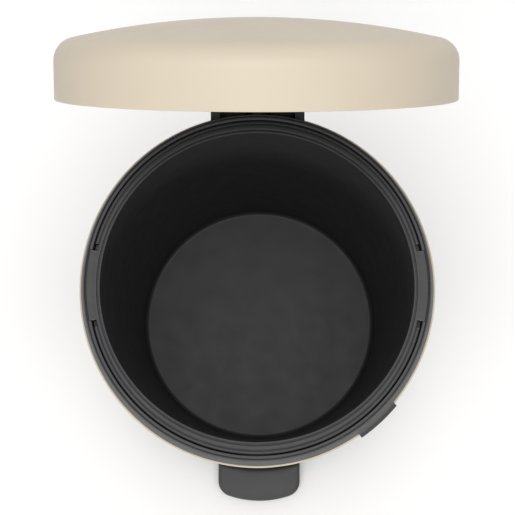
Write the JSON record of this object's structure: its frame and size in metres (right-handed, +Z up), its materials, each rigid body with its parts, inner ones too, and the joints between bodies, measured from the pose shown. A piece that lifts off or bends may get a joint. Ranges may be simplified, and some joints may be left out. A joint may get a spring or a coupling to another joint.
{
  "type": "pedal bin",
  "caption": "Round pedal-operated waste bin with a hinged domed lid, a lift-out inner bucket, a collar ring and a push rod that opens the lid.",
  "frame": {"origin": "on the floor, on the axis of the round body, in the underside of the non-slip ring", "axes": "+Z up, -Y towards the pedal and the front, +Y towards the hinge, +X to the right seen from the front"},
  "size_m": [0.256, 0.3353, 0.6083],
  "materials": {
    "cream_paint": "satin powder coat on thin steel",
    "dark_plastic": "fine moulded texture, matt-satin",
    "bucket_plastic": "smooth moulded, matt",
    "nylon": "natural nylon",
    "rubber": "soft matt",
    "bright_steel": "zinc plated",
    "black_steel": "black lacquer on steel strip"
  },
  "bodies": {
    "body": {"body_shell": "cream_paint", "base_ring": "dark_plastic", "base_plate": "dark_plastic", "non_slip_ring": "rubber", "base_screws": "bright_steel", "top_collar": "dark_plastic", "hinge_bracket": "dark_plastic", "hinge_screws": "bright_steel", "hinge_pin": "bright_steel", "hinge_pin_caps": "dark_plastic", "stay_spring": "bright_steel", "rod_guides": "nylon", "pedal_bracket": "black_steel", "pedal_pivot_pin": "bright_steel", "pedal_stops": "rubber"},
    "lid": {"lid_shell": "cream_paint", "lid_liner": "dark_plastic", "lid_buffers": "rubber", "lid_hinge_arm": "dark_plastic", "lid_screws": "bright_steel", "hinge_bushes": "nylon"},
    "bucket": {"inner_bucket": "bucket_plastic"},
    "pedal": {"pedal_lever": "black_steel", "pivot_bushes": "nylon", "pedal_pad": "dark_plastic", "pedal_screws": "bright_steel"},
    "push_rod": {"push_rod": "bright_steel", "rod_head": "nylon", "rod_foot": "nylon"}
  },
  "joints": [
    {"name": "lid_hinge", "type": "hinge", "parent": "body", "child": "lid", "pos_m": [0, 0.138, 0.343], "axis": [-1, 0, 0], "range_deg": [-73.7, 0]},
    {"name": "pedal_hinge", "type": "hinge", "parent": "body", "child": "pedal", "pos_m": [0, -0.008, 0.022], "axis": [-1, 0, 0], "range_deg": [0, 9.3]},
    {"name": "rod_slide", "type": "slide", "parent": "body", "child": "push_rod", "axis": [0, 0, 1], "range_m": [-0.0211, 0]},
    {"name": "bucket_lift", "type": "slide", "parent": "body", "child": "bucket", "axis": [0, 0, 1], "range_m": [0, 0.009]}
  ],
  "couplings": [
    {"joint": "pedal_hinge", "follows": "lid_hinge", "ratio": -0.12592},
    {"joint": "rod_slide", "follows": "lid_hinge", "m_per_rad": 0.016318}
  ]
}
